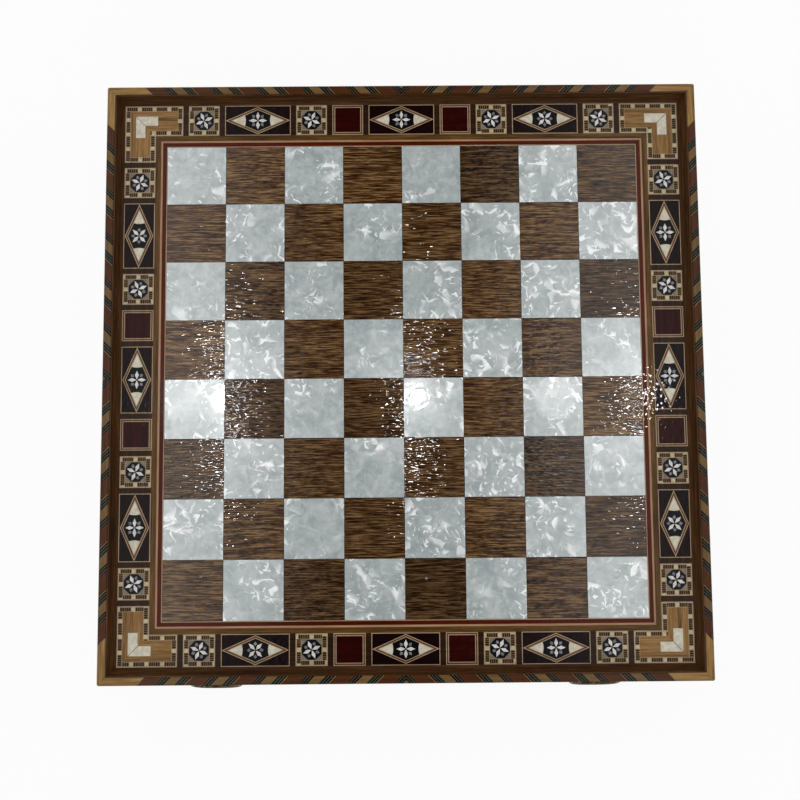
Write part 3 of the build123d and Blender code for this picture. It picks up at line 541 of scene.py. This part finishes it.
RED_BROWN, BRICK, HONEY, CREAM = "553018", "7a3416", "7d603b", "9c8258"
JET, DRAB, MOSS = "060504", "595644", "10241f"
STRIPES = [
    (0.0, RED_BROWN), (0.325, CREAM), (0.343, JET), (0.39, DRAB), (0.411, JET),
    (0.458, DRAB), (0.479, MOSS), (0.537, HONEY), (0.77, JET), (0.817, DRAB),
    (0.838, JET), (0.885, DRAB), (0.906, MOSS), (0.953, BRICK), (0.972, RED_BROWN),
]
ramp.color_ramp.elements[0].position = STRIPES[0][0]
ramp.color_ramp.elements[0].color = tint(STRIPES[0][1])
ramp.color_ramp.elements[1].position = STRIPES[-1][0]
ramp.color_ramp.elements[1].color = tint(STRIPES[-1][1])
for position, hexcode in STRIPES[1:-1]:
    ramp.color_ramp.elements.new(position).color = tint(hexcode)
grain = turn_grain(tree, where, "SIDE")
figure, height = wood_grain(tree, grain, tint("8a8a8a"), tint("d0d0d0"), tint("ffffff"))
colour = blend_colour(tree, 0.7, ramp.outputs[0], figure, "MULTIPLY")
finish_with(tree, shader, colour, height, strength=0.1)
dress("striped_edging", finish)

# Corner blocks: pale figured maple lengths that close the striped edging at the corners,
# mitred and glued on like the edging itself.
dress("corner_blocks", lacquered_wood("pale_maple", "674a25", "8d6c3e", "aa8a57", "SIDE",
                                      streak=1.3, pore=0.3, size=1.4))

# Drawers: walnut fronts over beech boxes, the back finger-jointed, the bottom grooved in.
# The grid of beech strips inside is half-lapped and lies on the felt.
for side in ("front", "rear"):
    dress(f"{side}_drawer_front", walnut_along_x)
    for part in ("back", "long_divider"):
        dress(f"{side}_drawer_{part}", beech_along_x)
    for part in ("left", "right", "cross_dividers"):
        dress(f"{side}_drawer_{part}", beech_along_y)
    dress(f"{side}_drawer_bottom", beech_along_x)

# Felt lining: dark red wool felt with a short fuzzy pile, cut to the inside of the drawer
# and glued down flat on its bottom. The top is dimpled a little, as felt lies.
FELT_GAP = 0.00005
FELT_THINNER = 0.00015
DIMPLE = 0.00006
DIMPLE_X, DIMPLE_Y = 131, 173
finish, tree, shader, where = begin_finish("red_felt", roughness=0.95)
shader.inputs["Sheen Weight"].default_value = 0.4
pile = grey_noise(tree, stretch(tree, where, (1500, 1500, 1500)), detail=5.0, rough=0.7, twist=1.0)
worn = grey_noise(tree, stretch(tree, where, (60, 60, 60)), detail=3.0)
colour = blend_colour(tree, pile, tint("3a0709"), tint("6a1216"))
colour = blend_colour(tree, calc(tree, "MULTIPLY", worn, 0.35), colour, tint("7c2226"))
finish_with(tree, shader, colour, pile, strength=0.5, depth=0.0004)
for side in ("front", "rear"):
    low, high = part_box(f"{side}_drawer_lining")
    bpy.ops.object.select_all(action="DESELECT")
    bpy.ops.mesh.primitive_grid_add(x_subdivisions=90, y_subdivisions=44, size=1)
    felt = bpy.context.object
    felt.name = f"{side}_felt"
    felt.scale = (high[0] - low[0], high[1] - low[1], 1)
    felt.location = ((low[0] + high[0]) / 2, (low[1] + high[1]) / 2, low[2] + FELT_GAP)
    bpy.ops.object.transform_apply(location=True, rotation=True, scale=True)
    bpy.ops.object.mode_set(mode="EDIT")
    bpy.ops.mesh.select_all(action="SELECT")
    thickness = high[2] - low[2] - FELT_THINNER
    bpy.ops.mesh.extrude_region_move(TRANSFORM_OT_translate={"value": (0, 0, thickness)})
    bpy.ops.mesh.select_all(action="SELECT")
    bpy.ops.mesh.normals_make_consistent(inside=False)
    bpy.ops.object.mode_set(mode="OBJECT")
    for point in felt.data.vertices:
        if point.co.z > (low[2] + high[2]) / 2:
            point.co.z -= DIMPLE * (1 + sin(point.co.x * DIMPLE_X) * cos(point.co.y * DIMPLE_Y))
    felt.data.materials.append(finish)
    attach(felt, f"{side}_drawer")
    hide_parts(f"{side}_drawer_lining")

# Pulls: turned posts of dark-patinated brass, each with a cross-bored eye, and a bent round wire
# hung in the eyes of two of them. A pan-head screw from inside the drawer holds each post.
PULL_X, PIVOT_Y, PIVOT_Z = 0.130, 0.2044, 0.0410
POST_X = 0.012
WIRE = 0.0016
LEG_X, PIN_X = 0.0166, 0.0094
DROP, TILT, BOW = 0.014, radians(16), 0.7
BEND_STEPS, BOW_STEPS = 5, 28
EYE_SLACK, EYE_LENGTH = 0.00006, 0.02
SCREW_HEAD, SCREW_RISE, SCREW_ROUND = 0.0031, 0.0016, 0.0005
FRONT_INSIDE = 0.190
SMOOTH_UNDER = radians(35)
bronze, tree, shader, where = begin_finish("dark_bronze", roughness=0.36, metallic=1.0)
patina = grey_noise(tree, stretch(tree, where, (260, 260, 260)), detail=5.0, rough=0.65, twist=0.6)
colour = blend_colour(tree, step_up(tree, patina, 0.35, 0.72), tint("2e2a20"), tint("7a6a48"))
finish_with(tree, shader, colour, patina, strength=0.12, depth=0.0003, gloss=(0.5, 0.28))

path_points = [(PIN_X, 0.0), (LEG_X - WIRE, 0.0)]
for step in range(1, BEND_STEPS + 1):
    angle = radians(90 - 90 / BEND_STEPS * step)
    path_points.append((LEG_X - WIRE + WIRE * cos(angle), -WIRE + WIRE * sin(angle)))
leg_points = path_points[::-1]
for step in range(1, BOW_STEPS):
    angle = pi * step / BOW_STEPS
    across = abs(cos(angle)) ** BOW * LEG_X
    down = sin(angle) ** BOW * (DROP - WIRE)
    path_points.append((across if 2 * step < BOW_STEPS else -across, -WIRE - down))
path_points += [(-x, y) for x, y in leg_points]
bpy.ops.object.select_all(action="DESELECT")
bpy.ops.mesh.primitive_plane_add(size=SEED)
bail = bpy.context.object
bpy.ops.object.mode_set(mode="EDIT")
bpy.ops.mesh.select_all(action="SELECT")
bpy.ops.mesh.merge(type="CENTER")
spots = [Vector((x, y * sin(TILT), y * cos(TILT))) for x, y in path_points]
bpy.ops.transform.translate(value=spots[0])
for here, there in zip(spots, spots[1:]):
    bpy.ops.mesh.extrude_region_move(TRANSFORM_OT_translate={"value": there - here})
bpy.ops.object.mode_set(mode="OBJECT")
bpy.ops.object.convert(target="CURVE")
bail.data.bevel_depth = WIRE
bail.data.bevel_resolution = 4
bail.data.use_fill_caps = True
bpy.ops.object.convert(target="MESH")
bail.data.materials.clear()
bail.data.materials.append(bronze)
bpy.ops.object.shade_smooth_by_angle(angle=SMOOTH_UNDER)

# Each step of the post: its reach from the drawer front and its radius, in millimetres.
MILLIMETRE = 0.001
POST_PROFILE = [
    (0.0, 5.5), (0.5, 5.5), (0.8, 5.3), (1.0, 4.9), (1.2, 4.1), (1.5, 3.3), (1.9, 2.8), (2.4, 2.6),
    (5.7, 2.6), (6.2, 2.4), (6.6, 2.0), (6.9, 1.3), (7.0, 0.5),
]
bpy.ops.object.select_all(action="DESELECT")
bpy.ops.mesh.primitive_circle_add(vertices=40, radius=POST_PROFILE[0][1] * MILLIMETRE, fill_type="NGON",
                                  rotation=(pi / 2, 0, 0))
post = bpy.context.object
bpy.ops.object.transform_apply(location=True, rotation=True, scale=True)
bpy.ops.object.mode_set(mode="EDIT")
bpy.ops.mesh.select_all(action="SELECT")
for (reach, radius), (reach_next, radius_next) in zip(POST_PROFILE, POST_PROFILE[1:]):
    outward = (0, (reach - reach_next) * MILLIMETRE, 0)
    bpy.ops.mesh.extrude_region_move(TRANSFORM_OT_translate={"value": outward})
    ratio = radius_next / radius
    bpy.ops.transform.resize(value=(ratio, 1, ratio), center_override=(0, 0, 0))
bpy.ops.mesh.select_all(action="SELECT")
bpy.ops.mesh.normals_make_consistent(inside=False)
bpy.ops.object.mode_set(mode="OBJECT")
bpy.ops.object.select_all(action="DESELECT")
bpy.ops.mesh.primitive_cylinder_add(vertices=32, radius=WIRE + EYE_SLACK, depth=EYE_LENGTH,
                                    location=(0, OUTER - PIVOT_Y, 0), rotation=(0, pi / 2, 0))
drill = bpy.context.object
bpy.context.view_layer.objects.active = post
bore = post.modifiers.new("eye", "BOOLEAN")
bore.operation = "DIFFERENCE"
bore.object = drill
bpy.ops.object.modifier_apply(modifier=bore.name)
bpy.data.objects.remove(drill)
post.data.materials.append(bronze)
bpy.ops.object.select_all(action="DESELECT")
post.select_set(True)
bpy.ops.object.shade_smooth_by_angle(angle=SMOOTH_UNDER)

bpy.ops.object.select_all(action="DESELECT")
bpy.ops.mesh.primitive_cylinder_add(vertices=24, radius=SCREW_HEAD, depth=SCREW_RISE,
                                    location=(0, SCREW_RISE / 2, 0), rotation=(-pi / 2, 0, 0))
screw = bpy.context.object
bpy.ops.object.transform_apply(location=True, rotation=True, scale=True)
bpy.ops.object.mode_set(mode="EDIT")
bpy.ops.mesh.select_all(action="SELECT")
bpy.ops.mesh.bevel(offset=SCREW_ROUND, segments=3, affect="EDGES")
bpy.ops.object.mode_set(mode="OBJECT")
screw.data.materials.append(bronze)
bpy.ops.object.shade_smooth_by_angle(angle=SMOOTH_UNDER)


def fit_bronze(piece, name, body):
    piece.name = name
    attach(piece, body)


for side, face in (("front", quarter(0)), ("rear", quarter(2))):
    post_spots = [face @ Matrix.Translation((x + offset, -OUTER, PIVOT_Z))
                  for x in (-PULL_X, PULL_X) for offset in (-POST_X, POST_X)]
    posts = join_copies(post, post_spots)
    fit_bronze(posts, f"{side}_posts", f"{side}_drawer")
    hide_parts(f"{side}_pull_posts")
    for hand, x in (("left", -PULL_X), ("right", PULL_X)):
        wire = copy_at(bail, face @ Matrix.Translation((x, -PIVOT_Y, PIVOT_Z)))
        fit_bronze(wire, f"{side}_{hand}_wire", f"{side}_{hand}_bail")
        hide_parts(f"{side}_{hand}_bail")
        for letter, offset in (("a", -POST_X), ("b", POST_X)):
            head = copy_at(screw, face @ Matrix.Translation((x + offset, -FRONT_INSIDE, PIVOT_Z)))
            fit_bronze(head, f"{side}_{hand}_screw_{letter}", f"{side}_drawer")
for pattern in (bail, post, screw):
    bpy.data.objects.remove(pattern)

# Studio: a white paper floor, dim walls with two light panels overhead, four soft boxes round
# the board, a row of small ceiling lamps that glint in the lacquer, and the camera over the near edge.
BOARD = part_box("pearl_squares")[1][2]
FLOOR = 12
FLOOR_GREY = (0.86, 0.86, 0.86, 1)
FLOOR_GLOW = 0.93
WHITE = (1, 1, 1, 1)
bpy.ops.object.select_all(action="DESELECT")
bpy.ops.mesh.primitive_plane_add(size=FLOOR)
floor = bpy.context.object
floor.name = "floor"
finish, tree, shader, where = begin_finish("floor_paper", roughness=0.9)
shader.inputs["Base Color"].default_value = FLOOR_GREY
path = tree.nodes.new("ShaderNodeLightPath")
seen = calc(tree, "MAXIMUM", path.outputs["Is Camera Ray"], path.outputs["Is Glossy Ray"])
seen = calc(tree, "MAXIMUM", seen, path.outputs["Is Transmission Ray"])
glow = add_node(tree, "ShaderNodeEmission", Color=WHITE, Strength=1.0)
mixed = add_node(tree, "ShaderNodeMixShader",
                 s0=calc(tree, "MULTIPLY", seen, FLOOR_GLOW), s1=shader.outputs[0], s2=glow.outputs[0])
tree.links.new(mixed.outputs[0], tree.nodes["Material Output"].inputs["Surface"])
floor.data.materials.append(finish)

WALL_LOW, WALL_HIGH, WALL_TOP = 0.5, 0.02, 0.8
PANEL_LIGHT, PANEL_END = 2.1, 0.12
PANEL_RISE, PANEL_FALL, PANEL_FOOT = (0.06, 0.2), (0.22, 0.32), (0.3, 0.6)
world = bpy.data.worlds.new("studio")
bpy.context.scene.world = world
world.use_nodes = True
tree = world.node_tree
where = tree.nodes.new("ShaderNodeTexCoord").outputs["Generated"]
split = add_node(tree, "ShaderNodeSeparateXYZ", s0=where).outputs
wall = add_node(tree, "ShaderNodeMapRange", s0=split[2], s1=0.0, s2=WALL_TOP, s3=WALL_LOW, s4=WALL_HIGH)
beside = calc(tree, "ABSOLUTE", split[0])
rise = add_node(tree, "ShaderNodeMapRange",
                s0=beside, s1=PANEL_RISE[0], s2=PANEL_RISE[1], s3=0.0, s4=PANEL_LIGHT)
fall = add_node(tree, "ShaderNodeMapRange",
                s0=beside, s1=PANEL_FALL[0], s2=PANEL_FALL[1], s3=1.0, s4=PANEL_END)
panels = calc(tree, "MULTIPLY", rise.outputs[0], fall.outputs[0])
panels = calc(tree, "MULTIPLY", panels, step_up(tree, split[2], *PANEL_FOOT))
tree.links.new(calc(tree, "ADD", wall.outputs[0], panels), tree.nodes["Background"].inputs["Strength"])
tree.nodes["Background"].inputs["Color"].default_value = WHITE

SOFT_BOXES = ((-1.5, 0.3, 3.6), (1.5, 0.3, 3.2), (0.2, -1.5, 3.6), (-0.2, 1.6, 3.0))
SOFT_BOX_SIZE = (1.2, 0.7)
SOFT_BOX_HEIGHT = 1.15


def hang(name, shape, power):
    lamp = bpy.data.lights.new(name, "AREA")
    lamp.shape = shape
    lamp.energy = power
    holder = bpy.data.objects.new(name, lamp)
    bpy.context.scene.collection.objects.link(holder)
    return lamp, holder


for number, (x, y, power) in enumerate(SOFT_BOXES):
    lamp, holder = hang(f"soft_box_{number}", "RECTANGLE", power)
    lamp.size, lamp.size_y = SOFT_BOX_SIZE
    spot = Vector((x, y, SOFT_BOX_HEIGHT))
    aim = (Vector((0, 0, BOARD)) - spot).to_track_quat("-Z", "Y")
    holder.matrix_world = Matrix.Translation(spot) @ aim.to_matrix().to_4x4()

CEILING_LAMPS = ((-0.42, 0.08, 0.05), (-0.327, 0.04, 0.64), (0.032, 0.028, 0.52),
                 (0.3, 0.08, 0.07), (0.46, 0.036, 0.6))
CEILING_Y, CEILING_RISE = 0.137, 1.4
for number, (x, size, power) in enumerate(CEILING_LAMPS):
    lamp, holder = hang(f"ceiling_lamp_{number}", "DISK", power)
    lamp.size = size
    holder.location = (x, CEILING_Y, BOARD + CEILING_RISE)

SENSOR = 36
FOCAL_SHARE = 1150 / 800
CAMERA_X, CAMERA_Y, CAMERA_RISE = -0.0059, -0.0949, 0.7658
CAMERA_LOOK = (0.0044, 0.1039, -0.9946)
CAMERA_RIGHT = (1.0, -0.0081, 0.0036)
camera = bpy.data.cameras.new("camera")
camera.sensor_width = SENSOR
camera.lens = SENSOR * FOCAL_SHARE
holder = bpy.data.objects.new("camera", camera)
bpy.context.scene.collection.objects.link(holder)
look = Vector(CAMERA_LOOK).normalized()
right = Vector(CAMERA_RIGHT)
right = (right - look * right.dot(look)).normalized()
up = right.cross(look)
turn = Matrix((right, up, -look)).transposed().to_4x4()
holder.matrix_world = Matrix.Translation((CAMERA_X, CAMERA_Y, BOARD + CAMERA_RISE)) @ turn
bpy.context.scene.camera = holder
bpy.context.scene.view_settings.view_transform = "Standard"
